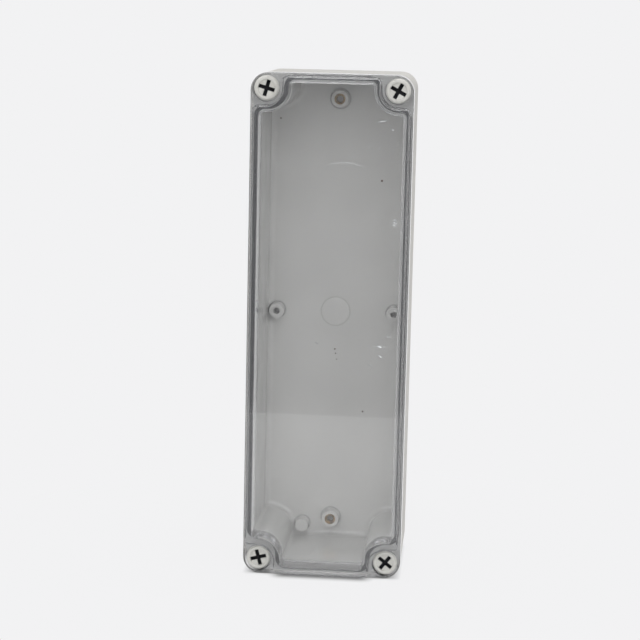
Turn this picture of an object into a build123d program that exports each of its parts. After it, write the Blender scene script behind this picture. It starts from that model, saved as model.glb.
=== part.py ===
from build123d import *
import math
import os

os.makedirs("parts", exist_ok=True)

# Waterproof project box: a moulded base, a clear screw-on lid with a seal between them,
# four captive corner screws and brass thread inserts. All sizes are in millimetres.
# The box stands on one short end. X is its width, Z its length and -Y the lid's side.

# Overall size of the closed box
width = 79.0
length = 250.0
depth = 70.0
corner_radius = 8.5

# Base moulding
base_wall = 4.5
floor_thickness = 3.0
back_edge_radius = 2.5
post_radius = 11.5
inner_edge_radius = 2.0
floor_edge_radius = 3.0
rim_chamfer = 0.5

# Seal between the base and the lid
groove_offset = 1.1
groove_width = 2.3
groove_depth = 2.5
gasket_height = 1.6
gasket_play = 0.05
tongue_clearance = 0.4

# Lid moulding
lid_height = 18.0
flange_thickness = 12.4
lid_inset = 1.4
lid_wall = 3.0
panel_thickness = 3.0
pocket_radius = 8.2
pocket_edge_radius = 2.0
front_edge_radius = 0.8
flange_edge_radius = 0.5
seat_depth = 5.7
seat_clearance = 0.5

# Lid screws: a steel core with a moulded plastic cap and a sealing ring under it
screw_inset = 7.6
cap_diameter = 12.0
cap_height = 4.5
cap_chamfer = 0.6
cap_rim_width = 2.0
dish_depth = 0.6
dish_slope = 0.2
rim_fall = 0.2
drive_width = 8.0
drive_slot = 1.5
drive_depth = 1.2
core_head_diameter = 8.8
core_head_height = 1.8
core_play = 0.05
shank_diameter = 4.0
shank_engagement = 7.0
shank_chamfer = 0.5
shank_play = 0.3
ring_height = 1.2
ring_play = 0.2
ring_lip = 0.2
ring_chamfer = 0.2

# Brass thread inserts in the corner posts and in the two floor bosses
insert_diameter = 5.6
insert_length = 8.0
insert_groove = 0.4
insert_mouth = 0.4
thread_clearance = 0.05
screw_hole_depth = 16.0
floor_insert_length = 5.0
floor_insert_bore = 3.3

# Bosses on the inside of the base, which narrow towards their tops
floor_boss_diameter = 10.2
floor_boss_height = 5.5
floor_boss_draft = 8.0
floor_boss_spacing = 221.0
side_boss_diameter = 8.4
side_boss_height = 5.5
side_boss_draft = 4.0
side_boss_spacing = 61.0
side_boss_bore = 3.3
side_boss_bore_depth = 6.0
stub_diameter = 8.0
stub_height = 5.5
stub_draft = 7.0
stub_offset_x = 15.0
stub_offset_z = 114.5

# Low dome inside, over the round recess in the back where the plastic was fed in
dome_diameter = 15.0
dome_height = 0.9
feed_diameter = 12.0
feed_depth = 0.8

# Blind holes for wall feet in the back, on the axes of the lid screws
foot_hole_diameter = 4.2
foot_hole_depth = 12.0

# Places worked out from the sizes above, as distances behind the front of the lid
pocket_floor = lid_height - flange_thickness
seat_floor = pocket_floor + seat_depth
inside_floor = depth - floor_thickness
groove_outer = groove_offset + groove_width
tongue_inner = groove_offset + tongue_clearance
tongue_outer = groove_outer - tongue_clearance
tongue_height = groove_depth - gasket_height

# Radii of the lid screw's pieces
cap_radius = cap_diameter / 2
head_radius = core_head_diameter / 2
shank_radius = shank_diameter / 2
ring_radius = head_radius - ring_lip - ring_play
ring_bore_radius = shank_radius + ring_play
head_top = ring_height + core_head_height
shank_length = lid_height - seat_floor + shank_engagement

# Half sizes of the base's inside and of the lid's raised part
inside_x = width / 2 - base_wall
inside_z = length / 2 - base_wall
raised_x = width / 2 - lid_inset
raised_z = length / 2 - lid_inset
screw_x = width / 2 - screw_inset
screw_z = length / 2 - screw_inset

# Each lid screw: name, side along X, side along Z and the turn of its cross slot
SCREWS = [
    ("top_left", -1, 1, -16.0),
    ("top_right", 1, 1, -28.0),
    ("bottom_left", -1, -1, 15.0),
    ("bottom_right", 1, -1, -38.0),
]
SCREW_PLACES = [(side_x * screw_x, side_z * screw_z) for _, side_x, side_z, _ in SCREWS]


def level(behind_front):
    """Plane across the box, this far behind the front of the lid, facing the front."""
    origin = (0, behind_front - depth / 2, length / 2)
    return Plane(origin=origin, x_dir=(1, 0, 0), z_dir=(0, -1, 0))


def on_axis(behind_front, across, along, turn=0.0):
    """Plane facing the front, centred on an axis that runs from the lid to the back."""
    angle = math.radians(turn)
    origin = (across, behind_front - depth / 2, length / 2 + along)
    return Plane(origin=origin, x_dir=(math.cos(angle), 0, math.sin(angle)), z_dir=(0, -1, 0))


def body_outline(behind_front):
    """Outer outline of the box at one level, a rectangle with rounded corners."""
    with BuildSketch(level(behind_front)) as outline:
        RectangleRounded(width, length, corner_radius)
    return outline.sketch


def stepped_outline(behind_front, half_x, half_z, screw_radius, edge_radius):
    """Outline that steps inside the screws: straight sides and a round bay at each corner."""
    with BuildSketch(level(behind_front)) as outline:
        with BuildLine():
            Line((0, half_z), (screw_x - screw_radius, half_z))
            Line((screw_x - screw_radius, half_z), (screw_x - screw_radius, screw_z))
            CenterArc((screw_x, screw_z), screw_radius, 180, 90)
            Line((screw_x, screw_z - screw_radius), (half_x, screw_z - screw_radius))
            Line((half_x, screw_z - screw_radius), (half_x, 0))
            mirror(about=Plane.YZ)
            mirror(about=Plane.XZ)
        make_face()
        tips = outline.vertices().filter_by(
            lambda v: abs(abs(v.Y) - half_z) < 0.01 or abs(abs(v.X) - half_x) < 0.01
        )
        fillet(tips, edge_radius)
    return outline.sketch


def seal_outline(behind_front, offset):
    """Outline that runs this far outside the inner edge of the base's rim."""
    return stepped_outline(
        behind_front,
        inside_x + offset,
        inside_z + offset,
        post_radius - offset,
        inner_edge_radius + offset,
    )


# Base: an open tray with a solid post at each corner, outside the seal
with BuildPart() as base:
    extrude(body_outline(depth), amount=depth - lid_height)
    fillet(base.faces().sort_by(Axis.Y)[-1].edges(), back_edge_radius)

    # The rim keeps a lip inside the groove that holds the seal
    extrude(seal_outline(lid_height, groove_outer), amount=-groove_depth, mode=Mode.SUBTRACT)
    extrude(seal_outline(lid_height, groove_offset), amount=-groove_depth)
    extrude(seal_outline(inside_floor, 0.0), amount=inside_floor - lid_height, mode=Mode.SUBTRACT)
    tray_floor = base.faces().filter_by(Axis.Y).sort_by(Axis.Y)[-2]
    fillet(tray_floor.edges(), floor_edge_radius)
    lip = base.faces().filter_by(Axis.Y).group_by(Axis.Y)[0].sort_by(SortBy.AREA)[0]
    chamfer(lip.inner_wires()[0].edges(), rim_chamfer)

    # Plain bosses for a small board, across the middle
    with BuildSketch(level(inside_floor)):
        with GridLocations(side_boss_spacing, 0, 2, 1):
            Circle(side_boss_diameter / 2)
    extrude(amount=side_boss_height, taper=side_boss_draft)
    with BuildSketch(level(inside_floor - side_boss_height)):
        with GridLocations(side_boss_spacing, 0, 2, 1):
            Circle(side_boss_bore / 2)
    extrude(amount=-side_boss_bore_depth, mode=Mode.SUBTRACT)

    # Bosses with brass inserts, on the long axis near both ends
    with BuildSketch(level(inside_floor)):
        with GridLocations(0, floor_boss_spacing, 1, 2):
            Circle(floor_boss_diameter / 2)
    extrude(amount=floor_boss_height, taper=floor_boss_draft)
    with BuildSketch(level(inside_floor - floor_boss_height)):
        with GridLocations(0, floor_boss_spacing, 1, 2):
            Circle(insert_diameter / 2)
    extrude(amount=-floor_insert_length, mode=Mode.SUBTRACT)

    # Short plain stub near the lower end
    with BuildSketch(level(inside_floor)):
        with Locations((-stub_offset_x, -stub_offset_z)):
            Circle(stub_diameter / 2)
    extrude(amount=stub_height, taper=stub_draft)

    # Dome on the floor and the recess behind it
    middle = level(inside_floor)
    dome_radius = dome_diameter / 2
    with BuildSketch(Plane(origin=middle.origin, x_dir=middle.x_dir, z_dir=-middle.y_dir)):
        with BuildLine():
            ThreePointArc((-dome_radius, 0), (0, dome_height), (dome_radius, 0))
            Line((-dome_radius, 0), (dome_radius, 0))
        make_face()
        split(bisect_by=Plane.YZ)
    revolve(axis=Axis(middle.origin, middle.z_dir))
    with BuildSketch(level(depth)):
        Circle(feed_diameter / 2)
    extrude(amount=feed_depth, mode=Mode.SUBTRACT)

    # Corner posts: a seat for the brass insert and room for the screw's tip below it
    with BuildSketch(level(lid_height)):
        with Locations(SCREW_PLACES):
            Circle(insert_diameter / 2)
    extrude(amount=-insert_length, mode=Mode.SUBTRACT)
    with BuildSketch(level(lid_height)):
        with Locations(SCREW_PLACES):
            Circle(shank_radius + shank_play)
    extrude(amount=-screw_hole_depth, mode=Mode.SUBTRACT)

    # Blind holes for wall feet, from the back
    with BuildSketch(level(depth)):
        with Locations(SCREW_PLACES):
            Circle(foot_hole_diameter / 2)
    extrude(amount=foot_hole_depth, mode=Mode.SUBTRACT)

base.part.label = "base"
export_step(base.part, "parts/base.step")


# Lid: a clear raised cover on a full flange, stepped in at the corners for the screws
with BuildPart() as lid:
    extrude(body_outline(lid_height), amount=flange_thickness)
    fillet(lid.faces().sort_by(Axis.Y)[0].edges(), flange_edge_radius)
    extrude(
        stepped_outline(pocket_floor, raised_x, raised_z, pocket_radius, pocket_edge_radius),
        amount=pocket_floor,
    )
    fillet(lid.faces().sort_by(Axis.Y)[0].edges(), front_edge_radius)
    extrude(
        stepped_outline(
            lid_height,
            raised_x - lid_wall,
            raised_z - lid_wall,
            pocket_radius + lid_wall,
            inner_edge_radius,
        ),
        amount=lid_height - panel_thickness,
        mode=Mode.SUBTRACT,
    )

    # Tongue that presses on the seal
    extrude(seal_outline(lid_height, tongue_outer), amount=-tongue_height)
    extrude(seal_outline(lid_height, tongue_inner), amount=-tongue_height, mode=Mode.SUBTRACT)

    # Round seats for the screw caps and the holes for their shanks
    with BuildSketch(level(pocket_floor)):
        with Locations(SCREW_PLACES):
            Circle(cap_radius + seat_clearance)
    extrude(amount=-seat_depth, mode=Mode.SUBTRACT)
    with BuildSketch(level(pocket_floor)):
        with Locations(SCREW_PLACES):
            Circle(shank_radius + shank_play)
    extrude(amount=-flange_thickness, mode=Mode.SUBTRACT)

lid.part.label = "lid"
export_step(lid.part, "parts/lid.step")


# Seal: a flat cord that lies in the groove all round, inside the four screws
with BuildPart() as lid_gasket:
    groove_floor = lid_height + groove_depth
    extrude(seal_outline(groove_floor, groove_outer - gasket_play), amount=gasket_height)
    extrude(
        seal_outline(groove_floor, groove_offset + gasket_play),
        amount=gasket_height,
        mode=Mode.SUBTRACT,
    )

lid_gasket.part.label = "lid_gasket"
export_step(lid_gasket.part, "parts/lid_gasket.step")


def cross_slot(plane):
    """Outline of the driver's cross slot."""
    with BuildSketch(plane) as slot:
        Rectangle(drive_width, drive_slot)
        Rectangle(drive_slot, drive_width)
    return slot.sketch


def screw_cap(across, along, turn):
    """Plastic cap with a raised rim, a dished middle and a cross opening, hollow for the core."""
    seat = on_axis(seat_floor, across, along, turn)
    section = Plane(origin=seat.origin, x_dir=seat.x_dir, z_dir=-seat.y_dir)
    rim_radius = cap_radius - cap_rim_width
    rim_top = cap_height - dish_depth
    with BuildPart() as cap:
        with BuildSketch(section):
            with BuildLine():
                Polyline(
                    (head_radius - ring_lip, 0),
                    (cap_radius, 0),
                    (cap_radius, cap_height - cap_chamfer),
                    (cap_radius - cap_chamfer, cap_height),
                    (rim_radius + rim_fall, cap_height),
                    (rim_radius, rim_top),
                    (0, rim_top - dish_slope),
                    (0, head_top),
                    (head_radius + core_play, head_top),
                    (head_radius + core_play, ring_height),
                    (head_radius - ring_lip, ring_height),
                    close=True,
                )
            make_face()
        revolve(axis=Axis(seat.origin, seat.z_dir))
        extrude(cross_slot(seat.offset(head_top)), amount=cap_height, mode=Mode.SUBTRACT)
    return cap.part


def screw_core(across, along, turn):
    """Steel screw: a flat head with a cross slot, and a shank that reaches into the insert."""
    seat = on_axis(seat_floor, across, along, turn)
    with BuildPart() as core:
        with BuildSketch(seat.offset(ring_height)):
            Circle(head_radius)
        extrude(amount=core_head_height)
        with BuildSketch(seat.offset(ring_height)):
            Circle(shank_radius)
        extrude(amount=-(ring_height + shank_length))
        chamfer(core.faces().sort_by(Axis.Y)[-1].edges(), shank_chamfer)
        extrude(cross_slot(seat.offset(head_top)), amount=-drive_depth, mode=Mode.SUBTRACT)
    return core.part


def screw_ring(across, along):
    """Sealing ring that lies under the screw's head, round its shank."""
    seat = on_axis(seat_floor, across, along)
    with BuildPart() as ring:
        with BuildSketch(seat):
            Circle(ring_radius)
            Circle(ring_bore_radius, mode=Mode.SUBTRACT)
        extrude(amount=ring_height)
        chamfer(ring.edges(), ring_chamfer)
    return ring.part


def brass_insert(plane, length_along, bore_radius):
    """Brass thread insert, flush with the plane, with a groove that holds it in the plastic."""
    outer = insert_diameter / 2
    waist = length_along / 2
    section = Plane(origin=plane.origin, x_dir=plane.x_dir, z_dir=plane.y_dir)
    with BuildPart() as insert:
        with BuildSketch(section):
            with BuildLine():
                Polyline(
                    (bore_radius, insert_mouth),
                    (bore_radius + insert_mouth, 0),
                    (outer, 0),
                    (outer, waist - insert_groove),
                    (outer - insert_groove, waist - insert_groove),
                    (outer - insert_groove, waist + insert_groove),
                    (outer, waist + insert_groove),
                    (outer, length_along),
                    (bore_radius, length_along),
                    close=True,
                )
            make_face()
        revolve(axis=Axis(plane.origin, plane.z_dir))
    return insert.part


def keep(piece, name):
    """Label one finished piece and write it under its name."""
    piece.label = name
    export_step(piece, f"parts/{name}.step")


for corner, side_x, side_z, slot_turn in SCREWS:
    across = side_x * screw_x
    along = side_z * screw_z
    keep(screw_cap(across, along, slot_turn), f"screw_cap_{corner}")
    keep(screw_core(across, along, slot_turn), f"screw_core_{corner}")
    keep(screw_ring(across, along), f"screw_ring_{corner}")
    rim = on_axis(lid_height, across, along)
    keep(brass_insert(rim, insert_length, shank_radius + thread_clearance), f"post_insert_{corner}")

for end, side_z in (("top", 1), ("bottom", -1)):
    boss_top = on_axis(inside_floor - floor_boss_height, 0, side_z * floor_boss_spacing / 2)
    keep(brass_insert(boss_top, floor_insert_length, floor_insert_bore / 2), f"floor_insert_{end}")
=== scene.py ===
import logging
import math
from dataclasses import dataclass, field
from enum import Enum

import bmesh
import bpy
from mathutils import Matrix, Vector


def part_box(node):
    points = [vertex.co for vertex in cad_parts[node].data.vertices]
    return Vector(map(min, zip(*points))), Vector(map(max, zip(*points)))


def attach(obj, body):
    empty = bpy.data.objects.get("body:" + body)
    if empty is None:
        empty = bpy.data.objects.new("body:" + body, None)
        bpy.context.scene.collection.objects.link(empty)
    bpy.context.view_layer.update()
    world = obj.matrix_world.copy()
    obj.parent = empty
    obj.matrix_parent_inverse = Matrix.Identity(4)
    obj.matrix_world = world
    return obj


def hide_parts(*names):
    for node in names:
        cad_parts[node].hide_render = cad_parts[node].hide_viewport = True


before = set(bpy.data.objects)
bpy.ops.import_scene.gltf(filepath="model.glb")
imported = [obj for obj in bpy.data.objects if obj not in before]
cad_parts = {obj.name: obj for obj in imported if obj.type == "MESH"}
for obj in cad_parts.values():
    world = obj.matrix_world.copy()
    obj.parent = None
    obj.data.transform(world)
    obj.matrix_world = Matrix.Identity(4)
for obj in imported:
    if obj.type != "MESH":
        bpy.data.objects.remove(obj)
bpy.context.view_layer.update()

log = logging.getLogger("project_box")

Piece = bpy.types.Object
Tree = bpy.types.NodeTree
Socket = bpy.types.NodeSocket
Colour = tuple[float, float, float, float]
Point = tuple[float, float, float]

MM = 0.001  # a millimetre in metres
CAD_WELD = 0.002 * MM  # the loose triangles of a CAD mesh are welded where corners are nearer than this
SPIN_WELD = 1e-6  # the same, in metres, for a spun mesh
SLIVER = 2e-6  # edges shorter than this, in metres, are welded after a boolean
ON_PLANE = 1e-7  # corners nearer to a cutting plane than this, in metres, count as lying in it
SAME_PLANE = 0.2  # degrees between faces that are joined into one
CRISP = 35.0  # degrees from which an edge of a moulding is rounded or stays sharp
FINE = 30.0  # the same for threads and other small work

DOME_RADIUS = 7.5  # of the low dome in the middle of the tray's floor, in millimetres
DOME_MIDDLE = (0.0, 32.0 * MM, 125.0 * MM)  # where the dome stands on the floor, in metres

# A Mix node has its sockets for numbers and for colours side by side. These are their places.
FACTOR, NUMBER_A, NUMBER_B, COLOUR_A, COLOUR_B = 0, 2, 3, 6, 7
MIXED_COLOUR = 2


# ---------------------------------------------------------------- helpers for materials


def linear(code: str) -> Colour:
    """Turn an sRGB hex colour into the linear colour that a shader takes.

    Args:
        code: The colour as six hex digits, with or without a leading mark.

    Returns:
        Red, green, blue and an alpha of one, all linear.
    """
    digits = code.lstrip("#")
    parts = [int(digits[i : i + 2], 16) / 255 for i in (0, 2, 4)]
    toned = [p / 12.92 if p <= 0.04045 else ((p + 0.055) / 1.055) ** 2.4 for p in parts]
    return (toned[0], toned[1], toned[2], 1.0)


def add_node(tree: Tree, kind: str, settings: dict | None = None, links: dict | None = None) -> bpy.types.Node:
    """Add one node with its settings and its links.

    Args:
        tree: The node tree that takes the node.
        kind: The node's type name without the leading ShaderNode.
        settings: Attributes by name, socket values by index or name, and a colour ramp's two stops as "stops".
        links: For each input of the new node, the output that feeds it, or a node whose first output does.

    Returns:
        The new node.
    """
    node = tree.nodes.new("ShaderNode" + kind)
    for key, value in (settings or {}).items():
        if key == "stops":
            for element, (place, colour) in zip(node.color_ramp.elements, value):
                element.position = place
                element.color = colour
        elif isinstance(key, int) or key in node.inputs:
            node.inputs[key].default_value = value
        else:
            setattr(node, key, value)
    for key, feed in (links or {}).items():
        source = feed.outputs[0] if isinstance(feed, bpy.types.Node) else feed
        tree.links.new(source, node.inputs[key])
    return node


def new_material(name: str) -> tuple[bpy.types.Material, Tree, Socket]:
    """Make an empty node material.

    Args:
        name: The material's name.

    Returns:
        The material, its node tree and the place in the object, from which its patterns are worked out.
    """
    material = bpy.data.materials.new(name)
    material.use_nodes = True
    tree = material.node_tree
    tree.nodes.clear()
    return material, tree, add_node(tree, "TexCoord").outputs["Object"]


def tones(dark: str, light: str, low: float = 0.35, high: float = 0.65) -> list[tuple[float, Colour]]:
    """Give a colour ramp's stops for a surface that varies between two tones.

    Args:
        dark: The darker tone.
        light: The lighter tone.
        low: The noise value up to which the surface is dark.
        high: The noise value from which it is light.

    Returns:
        The two stops.
    """
    return [(low, linear(dark)), (high, linear(light))]


def largest(tree: Tree, masks: list[Socket]) -> Socket:
    """Lay several masks over each other.

    Args:
        tree: The node tree that takes the nodes.
        masks: The masks.

    Returns:
        An output with the largest of them at each place.
    """
    top, *others = masks
    for mask in others:
        top = add_node(tree, "Math", {"operation": "MAXIMUM"}, {0: top, 1: mask}).outputs[0]
    return top


def spot(tree: Tree, place: Socket, middle: Point, solid: float, edge: float) -> Socket:
    """Mask a round spot.

    Args:
        tree: The node tree that takes the nodes.
        place: The place in the object.
        middle: The spot's middle in metres.
        solid: Distance in metres up to which the mask is one.
        edge: Distance in metres from which it is zero.

    Returns:
        The mask.
    """
    far = add_node(tree, "VectorMath", {"operation": "DISTANCE", 1: middle}, {0: place})
    fade = {"From Min": solid, "From Max": edge, "To Min": 1.0, "To Max": 0.0}
    return add_node(tree, "MapRange", fade, {"Value": far.outputs["Value"]}).outputs[0]


def hoop(tree: Tree, place: Socket, middle: Point, radius: float, band: tuple[float, float], peak: float) -> Socket:
    """Mask a thin band along a circle.

    Args:
        tree: The node tree that takes the nodes.
        place: The place in the object.
        middle: The circle's middle in metres.
        radius: Its radius in metres.
        band: Distances from it in metres, up to which the mask is full and from which it is zero.
        peak: The mask's full value.

    Returns:
        The mask.
    """
    far = add_node(tree, "VectorMath", {"operation": "DISTANCE", 1: middle}, {0: place})
    off = add_node(tree, "Math", {"operation": "SUBTRACT", 1: radius}, {0: far.outputs["Value"]})
    away = add_node(tree, "Math", {"operation": "ABSOLUTE"}, {0: off})
    fade = {"From Min": band[0], "From Max": band[1], "To Min": peak, "To Max": 0.0}
    return add_node(tree, "MapRange", fade, {"Value": away}).outputs[0]


# ---------------------------------------------------------------- helpers for meshes


class Change(Enum):
    """What a boolean does with its tool."""

    CUT = "DIFFERENCE"
    ADD = "UNION"


class Side(Enum):
    """The side of a CAD node that is asked for."""

    FRONT = "front"
    BACK = "back"


class Corner(Enum):
    """The four corners, each with the turn in degrees at which its screw's cross stands."""

    TOP_LEFT = -16.0
    TOP_RIGHT = -28.0
    BOTTOM_LEFT = 15.0
    BOTTOM_RIGHT = -38.0

    @property
    def tag(self) -> str:
        """The corner's name as the CAD nodes have it."""
        return self.name.lower()


def select_only(piece: Piece) -> None:
    """Make one object the only selected one, and the active one.

    Args:
        piece: The object.
    """
    bpy.ops.object.select_all(action="DESELECT")
    piece.select_set(True)
    bpy.context.view_layer.objects.active = piece


def apply_modifiers(piece: Piece) -> None:
    """Apply all of a piece's modifiers in order.

    Args:
        piece: The piece.
    """
    select_only(piece)
    for modifier in list(piece.modifiers):
        bpy.ops.object.modifier_apply(modifier=modifier.name)


def smooth(piece: Piece, angle: float) -> None:
    """Shade a piece smooth where its faces meet at less than an angle.

    Args:
        piece: The piece.
        angle: The angle in degrees.
    """
    select_only(piece)
    bpy.ops.object.shade_smooth_by_angle(angle=math.radians(angle))


def flatten_normals(piece: Piece) -> None:
    """Keep the flat faces of a smooth shaded piece flat right up to the curves beside them.

    Args:
        piece: The piece.
    """
    weigh = piece.modifiers.new("normals", "WEIGHTED_NORMAL")
    weigh.mode = "FACE_AREA"
    weigh.weight = 100  # the highest: a corner takes its normal from the largest face
    weigh.keep_sharp = True
    apply_modifiers(piece)


def soften(piece: Piece, width: float) -> None:
    """Round a piece's sharp edges a little and shade it smooth.

    Args:
        piece: The piece to soften.
        width: Width of the rounding in millimetres.
    """
    bevel = piece.modifiers.new("edges", "BEVEL")
    bevel.width = width * MM
    bevel.segments = 3
    bevel.limit_method = "ANGLE"
    bevel.angle_limit = math.radians(CRISP)
    bevel.miter_outer = "MITER_ARC"
    apply_modifiers(piece)
    smooth(piece, CRISP)


def thin(piece: Piece, gap: float) -> None:
    """Thin a piece from the back by a hair, so that air stays between it and what lies behind it.

    Args:
        piece: The piece to thin.
        gap: Width of the gap in millimetres.
    """
    front = min(corner[1] for corner in piece.bound_box)
    back = max(corner[1] for corner in piece.bound_box)
    factor = 1 - gap * MM / (back - front)
    keep = Matrix.Translation((0, front, 0))
    piece.data.transform(keep @ Matrix.Diagonal((1, factor, 1, 1)) @ keep.inverted())


def combine(piece: Piece, tool: Piece, change: Change = Change.CUT) -> None:
    """Cut one solid out of another or add it to it, weld the slivers that this leaves, and drop the tool.

    Args:
        piece: The solid to change.
        tool: The solid that is taken away or added.
        change: Whether the tool cuts or is added.
    """
    boolean = piece.modifiers.new("combine", "BOOLEAN")
    boolean.operation = change.value
    boolean.solver = "EXACT"
    boolean.object = tool
    apply_modifiers(piece)
    bpy.data.objects.remove(tool)
    bpy.ops.object.mode_set(mode="EDIT")
    bpy.ops.mesh.select_all(action="SELECT")
    bpy.ops.mesh.remove_doubles(threshold=SLIVER)
    bpy.ops.mesh.dissolve_degenerate(threshold=SLIVER)
    bpy.ops.object.mode_set(mode="OBJECT")


def joined(pieces: list[Piece], name: str) -> Piece:
    """Join pieces into the first of them.

    Args:
        pieces: The pieces to join.
        name: The joined piece's name.

    Returns:
        The joined piece.
    """
    bpy.ops.object.select_all(action="DESELECT")
    for piece in pieces:
        piece.select_set(True)
    bpy.context.view_layer.objects.active = pieces[0]
    bpy.ops.object.join()
    pieces[0].name = pieces[0].data.name = name
    return pieces[0]


def new_piece(name: str, mesh: bpy.types.Mesh) -> Piece:
    """Put a mesh into the scene as a piece at the origin.

    Args:
        name: The name of the piece and of its mesh.
        mesh: The mesh.

    Returns:
        The piece.
    """
    mesh.name = name
    piece = bpy.data.objects.new(name, mesh)
    bpy.context.scene.collection.objects.link(piece)
    return piece


def welded_copy(node: str, name: str) -> Piece:
    """Copy a CAD node's mesh, weld its loose triangles and join those that lie in one plane.

    Args:
        node: The CAD node to copy.
        name: The new piece's name.

    Returns:
        The new piece, at the origin.
    """
    piece = new_piece(name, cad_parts[node].data.copy())
    select_only(piece)
    bpy.ops.object.mode_set(mode="EDIT")
    bpy.ops.mesh.select_all(action="SELECT")
    bpy.ops.mesh.remove_doubles(threshold=CAD_WELD)
    bpy.ops.mesh.dissolve_limited(angle_limit=math.radians(SAME_PLANE))
    bpy.ops.object.mode_set(mode="OBJECT")
    return piece


def placed_copy(model: Piece, name: str, place: Matrix) -> Piece:
    """Copy a model with its own mesh and move the mesh to its place.

    Args:
        model: The model to copy.
        name: The copy's name.
        place: The transform that takes the model to its place.

    Returns:
        The copy, with its object at the origin.
    """
    mesh = model.data.copy()
    mesh.transform(place)
    return new_piece(name, mesh)


def start_point(name: str, at: Point) -> Piece:
    """Start a piece from a small plane merged into one corner, which the caller extrudes.

    Args:
        name: The piece's name.
        at: Where its first corner stands, in metres.

    Returns:
        The object, in edit mode, with that corner selected.
    """
    bpy.ops.object.select_all(action="DESELECT")
    bpy.ops.mesh.primitive_plane_add(size=MM, location=(0, 0, 0))
    piece = bpy.context.object
    piece.name = piece.data.name = name
    bpy.ops.object.mode_set(mode="EDIT")
    bpy.ops.mesh.select_all(action="SELECT")
    bpy.ops.mesh.merge(type="CENTER")
    bpy.ops.transform.translate(value=at)
    return piece


def lathe(name: str, profile: list[tuple[float, float]], steps: int) -> Piece:
    """Spin a profile round the Z axis. One that starts on the axis ends there, and any other is joined up.

    Args:
        name: The piece's name.
        profile: Corners as radius and height in millimetres.
        steps: Number of steps round.

    Returns:
        The spun piece, in object mode, its axis on Z.
    """
    radius, height = profile[0]
    piece = start_point(name, (radius * MM, 0, height * MM))
    for (r0, h0), (r1, h1) in zip(profile, profile[1:]):
        bpy.ops.mesh.extrude_region_move(TRANSFORM_OT_translate={"value": ((r1 - r0) * MM, 0, (h1 - h0) * MM)})
    if radius > 0:
        bm = bmesh.from_edit_mesh(piece.data)
        bm.edges.new([v for v in bm.verts if len(v.link_edges) == 1])
        bmesh.update_edit_mesh(piece.data)
    bpy.ops.mesh.select_all(action="SELECT")
    bpy.ops.mesh.spin(steps=steps, angle=math.tau, center=(0, 0, 0), axis=(0, 0, 1))
    bpy.ops.mesh.select_all(action="SELECT")
    bpy.ops.mesh.remove_doubles(threshold=SPIN_WELD)
    bpy.ops.mesh.normals_make_consistent(inside=False)
    bpy.ops.object.mode_set(mode="OBJECT")
    return piece


def threaded_rod(name: str, minor: float, major: float, pitch: float, length: float) -> Piece:
    """Make a closed rod with a screw thread, from the origin down the Z axis.

    Args:
        name: The rod's name.
        minor: Radius at the thread's roots in millimetres.
        major: Radius at the thread's crests in millimetres.
        pitch: Thread pitch in millimetres.
        length: Length in millimetres.

    Returns:
        The rod, in object mode.
    """
    rod = start_point(name, (minor * MM, 0, 0))
    flat, flank = pitch / 8, 3 * pitch / 8
    for out, rise in ((0, flat), (major - minor, flank), (0, flat), (minor - major, flank)):
        bpy.ops.mesh.extrude_region_move(TRANSFORM_OT_translate={"value": (out * MM, 0, rise * MM)})
    bpy.ops.mesh.select_all(action="SELECT")
    # The turns start two pitches below the end, and a little more, so that no corner lies in a cutting plane.
    bpy.ops.transform.translate(value=(0, 0, -(length + 2.02 * pitch) * MM))
    bpy.ops.object.mode_set(mode="OBJECT")
    turns = rod.modifiers.new("turns", "SCREW")
    turns.axis = "Z"
    turns.screw_offset = pitch * MM
    turns.iterations = math.ceil(length / pitch) + 3
    turns.steps = turns.render_steps = 24
    apply_modifiers(rod)
    bpy.ops.object.mode_set(mode="EDIT")
    bpy.ops.mesh.select_all(action="SELECT")
    bpy.ops.mesh.remove_doubles(threshold=SPIN_WELD)
    for height, clears in ((0.0, True), (-length * MM, False)):
        bpy.ops.mesh.select_all(action="SELECT")
        bpy.ops.mesh.bisect(
            plane_co=(0, 0, height),
            plane_no=(0, 0, 1),
            use_fill=True,
            clear_outer=clears,
            clear_inner=not clears,
            threshold=ON_PLANE,
        )
    bpy.ops.mesh.select_all(action="SELECT")
    bpy.ops.mesh.normals_make_consistent(inside=False)
    bpy.ops.object.mode_set(mode="OBJECT")
    return rod


def face_middle(node: str, side: Side) -> Vector:
    """Give the middle of a CAD node's front or back.

    Args:
        node: The CAD node.
        side: Its front or its back.

    Returns:
        The middle in metres.
    """
    low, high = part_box(node)
    depth = low.y if side is Side.FRONT else high.y
    return Vector(((low.x + high.x) / 2, depth, (low.z + high.z) / 2))


def facing_front(at: Vector, turn: float = 0.0) -> Matrix:
    """Give the transform that stands a lathe's axis towards the front.

    Args:
        at: Where the lathe's origin goes.
        turn: Turn about the axis in degrees, anticlockwise from the front.

    Returns:
        The transform.
    """
    c, s = math.cos(math.radians(turn)), math.sin(math.radians(turn))
    axes = Matrix(((c, 0, s), (-s, 0, c), (0, -1, 0))).transposed().to_4x4()
    return Matrix.Translation(at) @ axes


def dress(piece: Piece, material: bpy.types.Material, body: str, slot: str, *nodes: str) -> Piece:
    """Give a finished piece its material and its body, and hide the nodes it stands for.

    Args:
        piece: The finished piece.
        material: The material it wears.
        body: The moving body it rides on.
        slot: The record's material slot. It is not used.
        nodes: The CAD nodes that it replaces.

    Returns:
        The same piece.
    """
    piece.data.materials.clear()
    piece.data.materials.append(material)
    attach(piece, body)
    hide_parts(*nodes)
    return piece
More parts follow.
